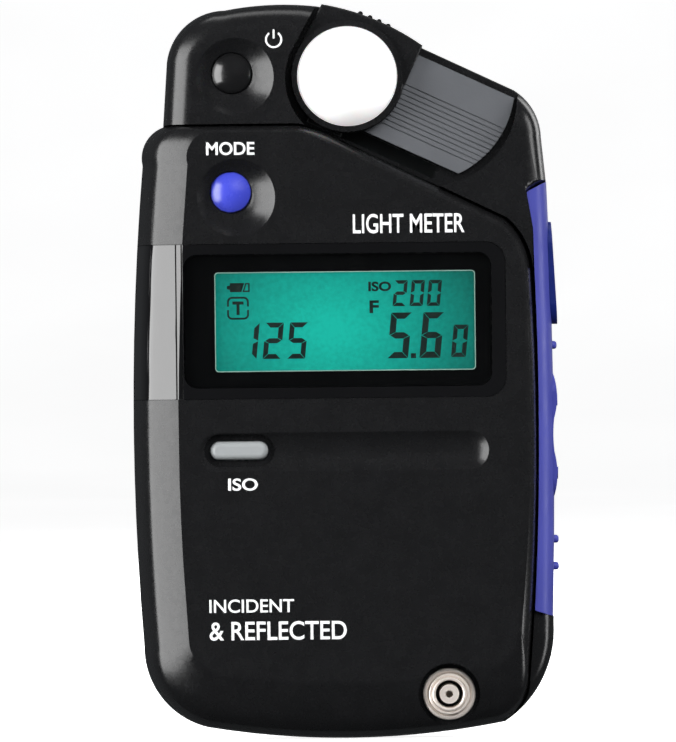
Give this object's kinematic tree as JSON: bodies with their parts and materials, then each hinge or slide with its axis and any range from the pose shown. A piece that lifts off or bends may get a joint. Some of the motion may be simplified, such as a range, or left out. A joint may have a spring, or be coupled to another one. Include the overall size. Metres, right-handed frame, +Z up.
{
  "type": "handheld light meter",
  "caption": "Pocket exposure meter with a sliding white diffuser dome, lit display window, front keys, blue side grip with measuring button and rocker, and sync socket.",
  "frame": {"origin": "centre of the tripod socket's mouth, in the flat back face", "axes": "+Z up the case towards the dome, +Y out of the back, -Y the way the display faces, +X to the display's right"},
  "size_m": [0.0637, 0.022, 0.11],
  "materials": {
    "case_black": "fine satin grain",
    "gloss_black": "polished",
    "window_clear": "clear acrylic",
    "display_teal": "lit reflective display",
    "dome_white": "translucent matt",
    "track_grey": "ridged satin",
    "grip_blue": "soft touch",
    "button_blue": "satin",
    "button_navy": "satin",
    "button_black": "satin",
    "button_grey": "satin",
    "nickel": "bright nickel plate",
    "insulator_black": "moulded",
    "board_black": "black solder mask",
    "chip_black": "moulded epoxy",
    "switch_metal": "stamped",
    "backlight_white": "light guide",
    "zebra_grey": "silicone",
    "lens_clear": "polished",
    "filter_blue": "colour correcting",
    "spring_steel": "nickel plated",
    "cell_label": "printed sleeve",
    "socket_brass": "machined",
    "screw_black": "black oxide",
    "label_grey": "matt foil"
  },
  "bodies": {
    "case": {"front_cover": "case_black", "head_frame": "case_black", "rear_cover": "case_black", "window_bezel": "gloss_black", "side_grip": "grip_blue", "display_window": "window_clear", "lcd_glass": "display_teal", "lcd_frame": "insulator_black", "lcd_backlight": "backlight_white", "zebra_strips": "zebra_grey", "track_plate": "track_grey", "receptor_barrel": "insulator_black", "receptor_lens": "lens_clear", "colour_filter": "filter_blue", "photodiode": "chip_black", "rocker_pin": "spring_steel", "main_board": "board_black", "board_components": "chip_black", "button_switches": "switch_metal", "side_board": "board_black", "side_switches": "switch_metal", "sync_terminal": "nickel", "sync_insulator": "insulator_black", "sync_contact": "nickel", "sync_nut": "nickel", "battery_tray": "insulator_black", "battery_cell": "cell_label", "positive_contact": "spring_steel", "battery_spring": "spring_steel", "battery_door_pin": "spring_steel", "tripod_socket": "socket_brass", "case_screws": "screw_black", "rear_label": "label_grey"},
    "carrier": {"lumisphere": "dome_white", "lumisphere_carrier": "case_black", "lumisphere_retainer": "insulator_black", "carrier_clip": "switch_metal", "carrier_screw": "screw_black"},
    "power_key": {"power_button": "button_black"},
    "mode_key": {"mode_button": "button_blue"},
    "iso_key": {"iso_button": "button_grey"},
    "measuring_key": {"measuring_button": "button_navy"},
    "rocker": {"up_down_rocker": "grip_blue"},
    "door": {"battery_door": "case_black"}
  },
  "joints": [
    {"name": "dome_slide", "type": "slide", "parent": "case", "child": "carrier", "axis": [0.907, 0, -0.421], "range_m": [0, 0.0145]},
    {"name": "power_press", "type": "slide", "parent": "case", "child": "power_key", "axis": [0, 1, 0], "range_m": [0, 0.0004], "stiffness_N_per_m": 900, "springref_m": -0.0006},
    {"name": "mode_press", "type": "slide", "parent": "case", "child": "mode_key", "axis": [0, 1, 0], "range_m": [0, 0.0004], "stiffness_N_per_m": 900, "springref_m": -0.0006},
    {"name": "iso_press", "type": "slide", "parent": "case", "child": "iso_key", "axis": [0, 1, 0], "range_m": [0, 0.0004], "stiffness_N_per_m": 900, "springref_m": -0.0006},
    {"name": "measuring_press", "type": "slide", "parent": "case", "child": "measuring_key", "axis": [-1, 0, 0], "range_m": [0, 0.0006], "stiffness_N_per_m": 900, "springref_m": -0.0006},
    {"name": "rocker_tilt", "type": "hinge", "parent": "case", "child": "rocker", "pos_m": [0.03045, -0.0093, 0.0051], "axis": [0, 1, 0], "range_deg": [-2.2, 2.2], "stiffness_Nm_per_rad": 0.06},
    {"name": "door_hinge", "type": "hinge", "parent": "case", "child": "door", "pos_m": [0, -0.0017, -0.0303], "axis": [-1, 0, 0], "range_deg": [0, 100]}
  ]
}
